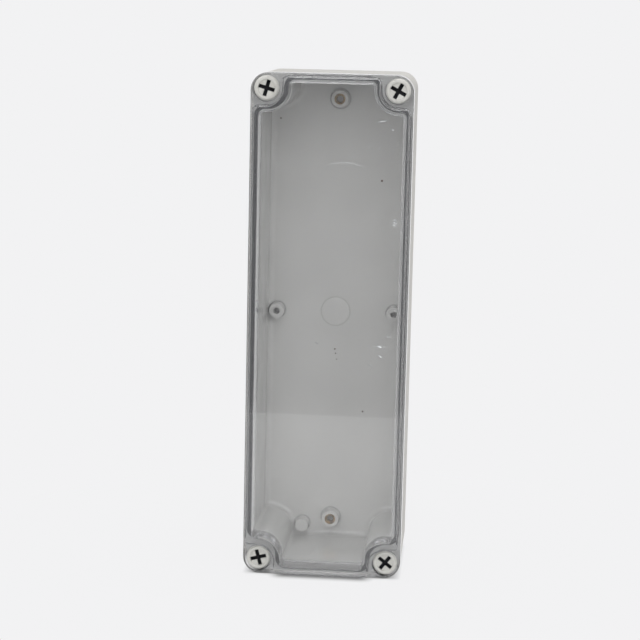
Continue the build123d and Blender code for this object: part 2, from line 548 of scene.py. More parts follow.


# ---------------------------------------------------------------- finishes


# Injection-moulded ABS. The polished inside mirrors its own walls softly and a little wavily. The outside comes from
# a spark-eroded mould and is an even matt grey with no highlight. Painted shade darkens the creases and a thin ring
# round the dome.
@dataclass(frozen=True)
class MouldedAbs:
    """Light grey ABS, polished inside and finely matt outside. Lengths are in millimetres."""

    name: str = "moulded ABS, light grey"
    outer_tones: tuple[str, str] = ("#C5C3BE", "#CBC9C4")
    inner_tones: tuple[str, str] = ("#C3C3C1", "#C9C9C7")
    speck_tone: str = "#6F6A60"
    # Tone of the painted shade ring round the dome.
    painted_shade_tone: str = "#A9A8A4"
    roughness: float = 0.14
    outer_roughness: float = 0.5
    ior: float = 1.53
    outer_half: tuple[float, float] = (39.5, 125.0)
    corner: float = 8.5
    back: float = 35.0
    skin: float = 0.6
    cloud: float = 30.0
    handling: float = 14.0
    wave: float = 6.0
    grain: float = 0.5  # the real grain is about a tenth of this, too fine to show
    speck_spacing: float = 5.0
    speck_least: float = 0.93
    # Width and strength of the painted shade ring round the dome.
    shade_ring_band: tuple[float, float] = (0.15, 0.5)
    shade_ring_peak: float = 0.55
    # Reach of the painted crease shade.
    painted_crease_reach: float = 0.9

    def outside(self, tree: Tree, place: Socket) -> Socket:
        """Mask the outer sides and the back, as all that lies past a rounded outline or behind a depth.

        Args:
            tree: The node tree that takes the mask.
            place: The place in the object.

        Returns:
            An output that is one outside and zero inside.
        """
        half_x, half_z = self.outer_half
        any_depth = 1.0
        start = ((half_x - self.corner) * MM, any_depth, (half_z - self.corner) * MM)
        off = add_node(tree, "VectorMath", {"operation": "SUBTRACT", 1: DOME_MIDDLE}, {0: place})
        size = add_node(tree, "VectorMath", {"operation": "ABSOLUTE"}, {0: off})
        over = add_node(tree, "VectorMath", {"operation": "SUBTRACT", 1: start}, {0: size})
        past = add_node(tree, "VectorMath", {"operation": "MAXIMUM", 1: (0, 0, 0)}, {0: over})
        reach = add_node(tree, "VectorMath", {"operation": "LENGTH"}, {0: past}).outputs["Value"]
        limit = (self.corner - self.skin) * MM
        side = add_node(tree, "Math", {"operation": "GREATER_THAN", 1: limit}, {0: reach})
        split = add_node(tree, "SeparateXYZ", links={0: place})
        depth = (self.back - self.skin) * MM
        behind = add_node(tree, "Math", {"operation": "GREATER_THAN", 1: depth}, {0: split.outputs["Y"]})
        return largest(tree, [side.outputs[0], behind.outputs[0]])

    def specks(self, tree: Tree, place: Socket) -> Socket:
        """Mask a few dark specks in the plastic.

        Args:
            tree: The node tree that takes the mask.
            place: The place in the object.

        Returns:
            The mask.
        """
        cells = add_node(tree, "TexVoronoi", {"Scale": 1 / (self.speck_spacing * MM)}, {"Vector": place})
        stops = [(0.03, linear("#FFFFFF")), (0.045, linear("#000000"))]
        dots = add_node(tree, "ValToRGB", {"stops": stops}, {0: cells.outputs["Distance"]})
        pick = add_node(tree, "SeparateColor", links={0: cells.outputs["Color"]})
        few = add_node(tree, "Math", {"operation": "GREATER_THAN", 1: self.speck_least}, {0: pick})
        return add_node(tree, "Math", {"operation": "MULTIPLY"}, {0: dots, 1: few}).outputs[0]

    def tone(self, tree: Tree, place: Socket, outside: Socket) -> Socket:
        """Give the surface's colour, with its specks, a painted shade ring round the dome and painted shade in the
        creases.

        Args:
            tree: The node tree that takes the nodes.
            place: The place in the object.
            outside: The mask of the outer sides and the back.

        Returns:
            The colour.
        """
        cloud = add_node(tree, "TexNoise", {"Scale": 1 / (self.cloud * MM), "Detail": 3.0}, {"Vector": place})
        outer = add_node(tree, "ValToRGB", {"stops": tones(*self.outer_tones)}, {0: cloud})
        inner = add_node(tree, "ValToRGB", {"stops": tones(*self.inner_tones)}, {0: cloud})
        base = add_node(tree, "Mix", {"data_type": "RGBA"}, {FACTOR: outside, COLOUR_A: inner, COLOUR_B: outer})
        specked = add_node(
            tree,
            "Mix",
            {"data_type": "RGBA", COLOUR_B: linear(self.speck_tone)},
            {FACTOR: self.specks(tree, place), COLOUR_A: base.outputs[MIXED_COLOUR]},
        )
        # The dark ring round the dome is painted shade where the dome meets the floor.
        band = tuple(width * MM for width in self.shade_ring_band)
        ring_shaded = add_node(
            tree,
            "Mix",
            {"data_type": "RGBA", COLOUR_B: linear(self.painted_shade_tone)},
            {
                FACTOR: hoop(tree, place, DOME_MIDDLE, DOME_RADIUS * MM, band, self.shade_ring_peak),
                COLOUR_A: specked.outputs[MIXED_COLOUR],
            },
        )
        # Ambient occlusion darkens the colour in the creases: painted shade.
        painted_creases = {"samples": 8, "only_local": True, "Distance": self.painted_crease_reach * MM}
        return add_node(tree, "AmbientOcclusion", painted_creases, {"Color": ring_shaded.outputs[MIXED_COLOUR]}).outputs[0]

    def build(self) -> bpy.types.Material:
        """Build the node material.

        Returns:
            The material.
        """
        material, tree, place = new_material(self.name)
        outside = self.outside(tree, place)
        handled = add_node(tree, "TexNoise", {"Scale": 1 / (self.handling * MM), "Detail": 5.0}, {"Vector": place})
        polish = {"From Min": 0.3, "From Max": 0.7, "To Min": self.roughness - 0.05, "To Max": self.roughness + 0.06}
        rough = add_node(tree, "MapRange", polish, {"Value": handled})
        gloss = add_node(
            tree,
            "Mix",
            {"data_type": "FLOAT", NUMBER_B: self.outer_roughness},
            {FACTOR: outside, NUMBER_A: rough},
        )
        peel = add_node(tree, "TexNoise", {"Scale": 1 / (self.wave * MM), "Detail": 2.0}, {"Vector": place})
        grain = add_node(tree, "TexNoise", {"Scale": 1 / (self.grain * MM), "Detail": 2.0}, {"Vector": place})
        wavy = add_node(tree, "Bump", {"Strength": 0.1, "Distance": 0.03 * MM}, {"Height": peel})
        fine = add_node(tree, "Bump", {"Strength": 0.12, "Distance": 0.02 * MM}, {"Height": grain, "Normal": wavy})
        shader = add_node(
            tree,
            "BsdfPrincipled",
            {"IOR": self.ior},
            {"Base Color": self.tone(tree, place, outside), "Roughness": gloss, "Normal": fine},
        )
        add_node(tree, "OutputMaterial", links={"Surface": shader})
        return material


# Smoked clear polycarbonate, moulded and polished. It is glossy and darkens with its depth: 3 mm lets most of the
# light through and a whole side wall hardly any. Light that falls through it is hardly dimmed, or the tray would be
# darker than the photograph has it. The dust specks, nicks and rub marks stand where the photograph has them. The
# nicks are pale painted glints, partly real scratches and partly painted highlight.
@dataclass(frozen=True)
class SmokedPolycarbonate:
    """Smoked clear polycarbonate with a little wear and a few painted glints on its front. Lengths are in millimetres.
    """

    name: str = "smoked polycarbonate"
    tint: str = "#868B98"
    density: float = 13.0
    ior: float = 1.58
    transmission: float = 0.97
    shadow: str = "#F8F8F8"
    dust: str = "#54402F"
    # Pale tone of the rub marks and of the nicks' painted glints.
    wear_and_glint: str = "#F4F6FA"
    haze: float = 25.0
    wave: float = 22.0
    streak: float = 0.8
    rub_peak: float = 0.2
    front: float = -35.0
    speck_places: tuple = (  # x, z, radius
        (4.7, 116.8, 0.46),
        (5.1, 114.6, 0.38),
        (5.7, 111.7, 0.36),
        (-23.9, 228.5, 0.45),
        (25.5, 199.7, 0.6),
        (19.1, 86.1, 0.48),
    )
    # Pale marks painted as glints: partly real nicks, partly painted highlight.
    nick_glint_places: tuple = (  # x, z, half length, half width, tilt in degrees, strength
        (26.5, 118.6, 1.5, 0.5, -12, 1.0),
        (26.9, 113.9, 1.8, 0.38, -30, 0.6),
        (21.9, 109.2, 1.4, 0.35, -30, 0.45),
        (30.5, 123.7, 1.2, 0.35, -30, 0.4),
        (25.0, 228.2, 2.9, 0.38, 11, 0.55),
        (30.1, 224.2, 0.55, 0.45, 0, 0.8),
        (19.3, 215.6, 0.5, 0.4, 0, 0.7),
        (23.9, 215.5, 0.55, 0.45, 0, 0.8),
        (32.3, 180.8, 1.5, 0.34, -15, 0.4),
        (32.3, 179.6, 1.8, 0.36, -12, 0.6),
        (32.1, 178.3, 1.8, 0.36, -15, 0.6),
        (-4.3, 119.4, 1.2, 0.32, -20, 0.4),
    )
    rub_places: tuple = (  # an arc's middle x and z, its radius, width and half length
        (7.5, 186.0, 22.0, 0.5, 12.0),
        (26.3, 97.0, 22.0, 0.45, 7.0),
        (8.5, 239.0, 21.0, 0.35, 6.0),
        (22.4, 236.0, 21.0, 0.35, 5.0),
        (27.5, 93.0, 24.0, 0.35, 5.0),
    )

    def on_front(self, x: float, z: float) -> Point:
        """Give a place on the front face in metres."""
        return (x * MM, self.front * MM, z * MM)

    def specks(self, tree: Tree, place: Socket) -> Socket:
        """Mask the few dust specks on the front.

        Args:
            tree: The node tree that takes the mask.
            place: The place in the object.

        Returns:
            The mask.
        """
        spots = [
            spot(tree, place, self.on_front(x, z), radius * 0.5 * MM, radius * MM)
            for x, z, radius in self.speck_places
        ]
        return largest(tree, spots)

    def nick_glints(self, tree: Tree, place: Socket) -> Socket:
        """Mask short pale nicks painted as glints: partly real scratches, partly painted highlight.

        Args:
            tree: The node tree that takes the mask.
            place: The place in the object.

        Returns:
            The mask.
        """
        masks = []
        for x, z, long, wide, tilt, strength in self.nick_glint_places:
            stretch = {
                "vector_type": "TEXTURE",
                "Location": self.on_front(x, z),
                "Rotation": (0, -math.radians(tilt), 0),
                "Scale": (long * MM, MM, wide * MM),
            }
            local = add_node(tree, "Mapping", stretch, {"Vector": place})
            far = add_node(tree, "VectorMath", {"operation": "LENGTH"}, {0: local}).outputs["Value"]
            fade = {"From Min": 0.2, "From Max": 1.1, "To Min": strength, "To Max": 0.0}
            masks.append(add_node(tree, "MapRange", fade, {"Value": far}).outputs[0])
        return largest(tree, masks)

    def rubs(self, tree: Tree, place: Socket) -> Socket:
        """Mask faint curved rub marks, each the crown of an arc that fades to both ends.

        Args:
            tree: The node tree that takes the mask.
            place: The place in the object.

        Returns:
            The mask.
        """
        masks = []
        streaks = add_node(tree, "TexNoise", {"Scale": 1 / (self.streak * MM), "Detail": 4.0}, {"Vector": place})
        for x, z, radius, width, reach in self.rub_places:
            arc = hoop(tree, place, self.on_front(x, z), radius * MM, (0.0, width * MM), self.rub_peak)
            crown = spot(tree, place, self.on_front(x, z + radius), reach * 0.3 * MM, reach * MM)
            part = add_node(tree, "Math", {"operation": "MULTIPLY"}, {0: arc, 1: crown})
            masks.append(add_node(tree, "Math", {"operation": "MULTIPLY"}, {0: part, 1: streaks}).outputs[0])
        return largest(tree, masks)

    def build(self) -> bpy.types.Material:
        """Build the node material.

        Returns:
            The material.
        """
        material, tree, place = new_material(self.name)
        haze = add_node(tree, "TexNoise", {"Scale": 1 / (self.haze * MM), "Detail": 6.0}, {"Vector": place})
        polish = {"From Min": 0.45, "From Max": 0.75, "To Min": 0.0, "To Max": 0.03}
        rough = add_node(tree, "MapRange", polish, {"Value": haze})
        wave = add_node(tree, "TexNoise", {"Scale": 1 / (self.wave * MM), "Detail": 1.0}, {"Vector": place})
        bump = add_node(tree, "Bump", {"Strength": 0.01, "Distance": 0.1 * MM}, {"Height": wave})
        clear = add_node(
            tree,
            "BsdfPrincipled",
            {"Base Color": linear("#FFFFFF"), "IOR": self.ior, "Transmission Weight": self.transmission},
            {"Roughness": rough, "Normal": bump},
        )
        dust = add_node(tree, "BsdfDiffuse", {"Color": linear(self.dust)})
        # The pale marks are partly real wear and partly painted glints.
        wear_and_glint = add_node(tree, "BsdfDiffuse", {"Color": linear(self.wear_and_glint)})
        marks = largest(tree, [self.nick_glints(tree, place), self.rubs(tree, place)])
        dusted = add_node(tree, "MixShader", links={0: self.specks(tree, place), 1: clear, 2: dust})
        worn_and_glinting = add_node(tree, "MixShader", links={0: marks, 1: dusted, 2: wear_and_glint})
        through = add_node(tree, "BsdfTransparent", {"Color": linear(self.shadow)})
        rays = add_node(tree, "LightPath")
        surface = add_node(tree, "MixShader", links={0: rays.outputs["Is Shadow Ray"], 1: worn_and_glinting, 2: through})
        smoke = add_node(tree, "VolumeAbsorption", {"Color": linear(self.tint), "Density": self.density})
        add_node(tree, "OutputMaterial", links={"Surface": surface, "Volume": smoke})
        return material


# A moulded nylon or a rubber. Slight mottling and a fine grain break up its soft highlight, so that it does not look
# like paint. The grain is about five times as coarse as the real one, which would not show.
@dataclass(frozen=True)
class PlainPlastic:
    """One tone with slight mottling and a fine grain. Lengths are in millimetres."""

    name: str
    dark: str
    light: str
    roughness: float
    ior: float = 1.53
    mottle: float = 4.0
    grain: float = 0.35
    depth: float = 0.02

    def build(self) -> bpy.types.Material:
        """Build the node material.

        Returns:
            The material.
        """
        material, tree, place = new_material(self.name)
        cloud = add_node(tree, "TexNoise", {"Scale": 1 / (self.mottle * MM), "Detail": 4.0}, {"Vector": place})
        tone = add_node(tree, "ValToRGB", {"stops": tones(self.dark, self.light)}, {0: cloud})
        grain = add_node(tree, "TexNoise", {"Scale": 1 / (self.grain * MM), "Detail": 2.0}, {"Vector": place})
        bump = add_node(tree, "Bump", {"Strength": 0.3, "Distance": self.depth * MM}, {"Height": grain})
        polish = {"From Min": 0.3, "From Max": 0.7, "To Min": self.roughness - 0.06, "To Max": self.roughness + 0.06}
        rough = add_node(tree, "MapRange", polish, {"Value": cloud})
        shader = add_node(
            tree, "BsdfPrincipled", {"IOR": self.ior}, {"Base Color": tone, "Roughness": rough, "Normal": bump}
        )
        add_node(tree, "OutputMaterial", links={"Surface": shader})
        return material


# Turned brass or blackened steel. Fine tool marks spread the highlight, and tarnish darkens and dulls it in patches.
@dataclass(frozen=True)
class WorkedMetal:
    """Turned or blackened metal with tool marks and tarnish. Lengths are in millimetres."""

    name: str
    tarnish: str
    bright: str
    roughness: float
    patch: float = 1.8
    tool_mark: float = 0.3  # real marks are about a tenth of this, too fine to show

    def build(self) -> bpy.types.Material:
        """Build the node material.

        Returns:
            The material.
        """
        material, tree, place = new_material(self.name)
        patches = add_node(tree, "TexNoise", {"Scale": 1 / (self.patch * MM), "Detail": 5.0}, {"Vector": place})
        tone = add_node(tree, "ValToRGB", {"stops": tones(self.tarnish, self.bright, high=0.7)}, {0: patches})
        marks = add_node(tree, "TexNoise", {"Scale": 1 / (self.tool_mark * MM), "Detail": 3.0}, {"Vector": place})
        bump = add_node(tree, "Bump", {"Strength": 0.2, "Distance": 0.02 * MM}, {"Height": marks})
        polish = {"From Min": 0.3, "From Max": 0.7, "To Min": self.roughness + 0.1, "To Max": self.roughness - 0.04}
        rough = add_node(tree, "MapRange", polish, {"Value": patches})
        shader = add_node(
            tree, "BsdfPrincipled", {"Metallic": 1.0}, {"Base Color": tone, "Roughness": rough, "Normal": bump}
        )
        add_node(tree, "OutputMaterial", links={"Surface": shader})
        return material


# ---------------------------------------------------------------- the box's own pieces


@dataclass
class BaseTray:
    """The moulded base. Lengths are in millimetres."""

    rim_play: float = 0.02
    finish: MouldedAbs = field(default_factory=MouldedAbs)

    def sharpen_dome(self, piece: Piece) -> None:
        """Keep the low dome's rim crisp where it meets the floor.

        Args:
            piece: The base.
        """
        middle = Vector(DOME_MIDDLE)
        on_rim = [
            abs((vertex.co - middle).length - DOME_RADIUS * MM) < self.rim_play * MM for vertex in piece.data.vertices
        ]
        for edge in piece.data.edges:
            if all(on_rim[index] for index in edge.vertices):
                edge.use_edge_sharp = True

    def build(self) -> list[Piece]:
        """Build and dress the base.

        Returns:
            The one piece.
        """
        piece = welded_copy("base", "base_tray")
        smooth(piece, CRISP)
        self.sharpen_dome(piece)
        flatten_normals(piece)
        return [dress(piece, self.finish.build(), "base", "box_abs", "base")]


@dataclass
class LidCover:
    """The clear lid, with a hairline of air behind it. Lengths are in millimetres.

    Without that air it shares faces with the base, and such faces render black.
    """

    air: float = 0.04
    edge: float = 0.3
    finish: SmokedPolycarbonate = field(default_factory=SmokedPolycarbonate)

    def build(self) -> list[Piece]:
        """Build and dress the lid.

        Returns:
            The one piece.
        """
        piece = welded_copy("lid", "lid_cover")
        thin(piece, self.air)
        soften(piece, self.edge)
        flatten_normals(piece)
        return [dress(piece, self.finish.build(), "lid", "lid_polycarbonate", "lid")]


@dataclass
class Seal:
    """The seal that lies in the base's groove, a soft cord with rounded edges. Lengths are in millimetres."""

    edge: float = 0.35
    finish: PlainPlastic = PlainPlastic(
        name="silicone rubber, dark grey", dark="#444547", light="#4C4D4F", roughness=0.5, ior=1.43, grain=0.4
    )

    def build(self) -> list[Piece]:
        """Build and dress the seal.

        Returns:
            The one piece.
        """
        piece = welded_copy("lid_gasket", "seal_cord")
        soften(piece, self.edge)
        return [dress(piece, self.finish.build(), "base", "seal_silicone", "lid_gasket")]


@dataclass
class Screws:
    """The four lid screws: plastic caps over steel cores, with a sealing ring under each head.

    Sizes are in millimetres. Heights count from the screw's seat in the lid.
    """

    cap_radius: float = 6.0
    cap_height: float = 4.5
    cap_steps: int = 72
    cap_edge: float = 0.16
    chamfer: float = 0.6
    rim_width: float = 1.8
    dish: float = 0.6
    dish_draft: float = 0.2
    slope: float = 0.2
    head_radius: float = 4.4
    head_low: float = 1.2
    head_top: float = 3.0
    head_play: float = 0.05
    head_steps: int = 56
    core_edge: float = 0.1
    lip: float = 0.2
    slot_length: float = 8.0
    slot_width: float = 1.9
    slot_flare: float = 1.16
    slot_depth: float = 1.2
    slot_under_cap: float = 0.4
    tool_proud: float = 1.0
    shank_radius: float = 2.0
    thread_root: float = 1.6
    pitch: float = 0.7
    neck: float = 2.2
    neck_bite: float = 0.3
    thread_short: float = 0.5
    tip_shape: tuple = ((1.4, 0.0), (1.75, 0.3), (1.6, 0.55), (1.6, 1.2))  # radius, height above the end
    tip_steps: int = 32
    ring_outer: float = 4.0
    ring_inner: float = 2.2
    ring_steps: int = 48
    ring_edge: float = 0.3
    cap_finish: PlainPlastic = PlainPlastic(
        name="moulded nylon, light grey", dark="#CAC9C4", light="#D2D1CC", roughness=0.3
    )
    core_finish: WorkedMetal = WorkedMetal(name="blackened steel", tarnish="#1A1A1C", bright="#2E2F31", roughness=0.4)
    ring_finish: PlainPlastic = PlainPlastic(
        name="nitrile rubber, black", dark="#242424", light="#2B2B2B", roughness=0.5, ior=1.5, grain=0.3
    )

    def arm(self, low: float, high: float, turn: float) -> Piece:
        """Make one bar of a cross, a little wider at its ends than in its middle.

        Args:
            low: Height of its lower face.
            high: Height of its upper face.
            turn: Turn about the Z axis in degrees.

        Returns:
            The bar.
        """
        middle = (0, 0, (low + high) / 2 * MM)
        half_width = self.slot_width / 2 * MM
        nearly_zero = 1e-6
        bpy.ops.object.select_all(action="DESELECT")
        bpy.ops.mesh.primitive_cube_add(size=1, location=middle)
        bar = bpy.context.object
        bpy.ops.object.transform_apply(location=True, rotation=False, scale=False)
        bpy.ops.object.mode_set(mode="EDIT")
        size = (self.slot_length * MM, self.slot_width * MM, (high - low) * MM)
        bpy.ops.transform.resize(value=size, center_override=middle)
        bpy.ops.mesh.select_all(action="DESELECT")
        bm = bmesh.from_edit_mesh(bar.data)
        for face in bm.faces:
            face.select_set(abs(face.normal.x) > 0.9)
        bmesh.update_edit_mesh(bar.data)
        bpy.ops.transform.resize(value=(1, self.slot_flare, 1), center_override=(0, 0, 0))
        bpy.ops.mesh.select_all(action="SELECT")
        bpy.ops.mesh.subdivide(number_cuts=1)
        bm = bmesh.from_edit_mesh(bar.data)
        for vertex in bm.verts:
            if abs(vertex.co.x) < nearly_zero:
                vertex.co.y = math.copysign(half_width, vertex.co.y) if abs(vertex.co.y) > nearly_zero else 0
        bmesh.update_edit_mesh(bar.data)
        bpy.ops.object.mode_set(mode="OBJECT")
        bar.data.transform(Matrix.Rotation(math.radians(turn), 4, "Z"))
        return bar

    def cross(self, low: float, high: float) -> Piece:
        """Make a cross with slightly flared arms.

        Args:
            low: Height of its lower face.
            high: Height of its upper face.

        Returns:
            The cross as one solid.
        """
        one, two = (self.arm(low, high, turn) for turn in (0, 90))
        combine(one, two, Change.ADD)
        return one

    def cap(self) -> Piece:
        """Model the plastic cap, with the hollow that holds the steel head.

        Returns:
            The cap, its axis on Z.
        """
        outer, inner = self.cap_radius, self.cap_radius - self.rim_width
        hollow, mouth = self.head_radius + self.head_play, self.head_radius - self.lip
        profile = [
            (0, self.head_top),
            (hollow, self.head_top),
            (hollow, self.head_low),
            (mouth, self.head_low),
            (mouth, 0),
            (outer, 0),
            (outer, self.cap_height - self.chamfer),
            (outer - self.chamfer, self.cap_height),
            (inner, self.cap_height),
            (inner - self.dish_draft, self.cap_height - self.dish),
            (0, self.cap_height - self.dish - self.slope),
        ]
        piece = lathe("screw_cap", profile, self.cap_steps)
        combine(piece, self.cross(self.head_top - self.slot_under_cap, self.cap_height + self.tool_proud))
        soften(piece, self.cap_edge)
        return piece

    def core(self, length: float) -> Piece:
        """Model the steel screw from a head with a neck, a threaded rod and a tip.

        Args:
            length: How far the shank reaches below the seat.

        Returns:
            The screw, its axis on Z.
        """
        neck = -self.neck
        profile = [
            (0, neck - self.neck_bite),
            (self.thread_root, neck - self.neck_bite),
            (self.shank_radius, neck),
            (self.shank_radius, self.head_low),
            (self.head_radius, self.head_low),
            (self.head_radius, self.head_top),
            (0, self.head_top),
        ]
        head = lathe("screw_core", profile, self.head_steps)
        combine(head, self.cross(self.head_top - self.slot_depth, self.head_top + self.tool_proud))
        soften(head, self.core_edge)
        run = length - self.neck - self.thread_short
        thread = threaded_rod("thread", self.thread_root, self.shank_radius, self.pitch, run)
        thread.data.transform(Matrix.Translation((0, 0, neck * MM)))
        smooth(thread, FINE)
        ends = [(0, self.tip_shape[0][1]), *self.tip_shape, (0, self.tip_shape[-1][1])]
        tip = lathe("tip", [(radius, height - length) for radius, height in ends], self.tip_steps)
        smooth(tip, FINE)
        return joined([head, thread, tip], "screw_core")

    def ring(self) -> Piece:
        """Model the sealing ring.

        Returns:
            The ring, its axis on Z.
        """
        inner, outer, high = self.ring_inner, self.ring_outer, self.head_low
        piece = lathe("screw_ring", [(inner, 0.0), (outer, 0.0), (outer, high), (inner, high)], self.ring_steps)
        soften(piece, self.ring_edge)
        return piece

    def build(self) -> list[Piece]:
        """Build the three models once and place a dressed copy of each at the four corners.

        Returns:
            The twelve pieces.
        """
        first = Corner.TOP_LEFT.tag
        end = face_middle(f"screw_core_{first}", Side.BACK)
        seat = face_middle(f"screw_cap_{first}", Side.BACK)
        models = {"cap": self.cap(), "core": self.core((end.y - seat.y) / MM), "ring": self.ring()}
        looks = {
            "cap": (self.cap_finish.build(), "screw_cap_nylon"),
            "core": (self.core_finish.build(), "screw_steel"),
            "ring": (self.ring_finish.build(), "seal_silicone"),
        }
        pieces = []
        for corner in Corner:
            place = facing_front(face_middle(f"screw_cap_{corner.tag}", Side.BACK), corner.value)
            for kind, model in models.items():
                # The ring comes out with its screw but does not turn with it.
                body = f"screw_travel_{corner.tag}" if kind == "ring" else f"screw_{corner.tag}"
                material, slot = looks[kind]
                piece = placed_copy(model, f"{kind}_of_{corner.tag}_screw", place)
                pieces.append(dress(piece, material, body, slot, f"screw_{kind}_{corner.tag}"))
        for model in models.values():
            bpy.data.objects.remove(model)
        return pieces


@dataclass
class Inserts:
    """The six brass thread inserts: four in the corner posts and two in the floor bosses.

    Sizes are in millimetres.
    """

    radius: float = 2.8
    mouth: float = 0.4
    groove: float = 0.4
    pitch: float = 0.7
    root: float = 0.3
    hair: float = 0.01
    tap_proud: float = 1.0
    steps: int = 48
    post: tuple[float, float] = (8.0, 2.05)  # length, bore radius
    floor: tuple[float, float] = (5.0, 1.65)  # length, bore radius
    finish: WorkedMetal = WorkedMetal(name="machined brass", tarnish="#6E5633", bright="#B3925C", roughness=0.17)

    def model(self, name: str, length: float, bore: float) -> Piece:
        """Model one insert, its mouth at the origin and its body below.

        Args:
            name: The model's name.
            length: Length in millimetres.
            bore: Radius of the thread's crests in millimetres.

        Returns:
            The insert with its thread cut.
        """
        waist, thin_radius = -length / 2, self.radius - self.groove
        profile = [
            (bore, -self.mouth),
            (bore + self.mouth, 0),
            (self.radius, 0),
            (self.radius, waist + self.groove),
            (thin_radius, waist + self.groove),
            (thin_radius, waist - self.groove),
            (self.radius, waist - self.groove),
            (self.radius, -length),
            (bore, -length),
        ]
        piece = lathe(name, profile, self.steps)
        tap = threaded_rod("tap", bore - self.hair, bore + self.root, self.pitch, length + 2 * self.tap_proud)
        tap.data.transform(Matrix.Translation((0, 0, self.tap_proud * MM)))
        combine(piece, tap)
        smooth(piece, FINE)
        return piece

    def build(self) -> list[Piece]:
        """Build one model of each kind and place its dressed copies.

        Returns:
            The six pieces.
        """
        brass = self.finish.build()
        kinds = (
            ("post", self.post, [corner.tag for corner in Corner]),
            ("floor", self.floor, ["top", "bottom"]),
        )
        pieces = []
        for kind, (length, bore), tags in kinds:
            model = self.model(f"{kind}_model", length, bore)
            for tag in tags:
                node = f"{kind}_insert_{tag}"
                piece = placed_copy(model, f"brass_{kind}_{tag}", facing_front(face_middle(node, Side.FRONT)))
                pieces.append(dress(piece, brass, "base", "insert_brass", node))
            bpy.data.objects.remove(model)
        return pieces


# ---------------------------------------------------------------- studio


@dataclass(frozen=True)
class Lamp:
    """One square soft lamp that faces the box. Its place and side are in metres and its power in watts."""

    name: str
    place: Point
    side: float
    power: float
    aim: Point = (0.0, 0.0, 0.12)

    def add(self) -> None:
        """Add the lamp to the scene."""
        data = bpy.data.lights.new(self.name, "AREA")
        data.shape = "SQUARE"
        data.size = self.side
        data.energy = self.power
        lamp = bpy.data.objects.new(self.name, data)
        bpy.context.scene.collection.objects.link(lamp)
        lamp.rotation_mode = "QUATERNION"
        lamp.rotation_quaternion = (Vector(self.aim) - Vector(self.place)).to_track_quat("-Z", "Y")
        lamp.location = self.place


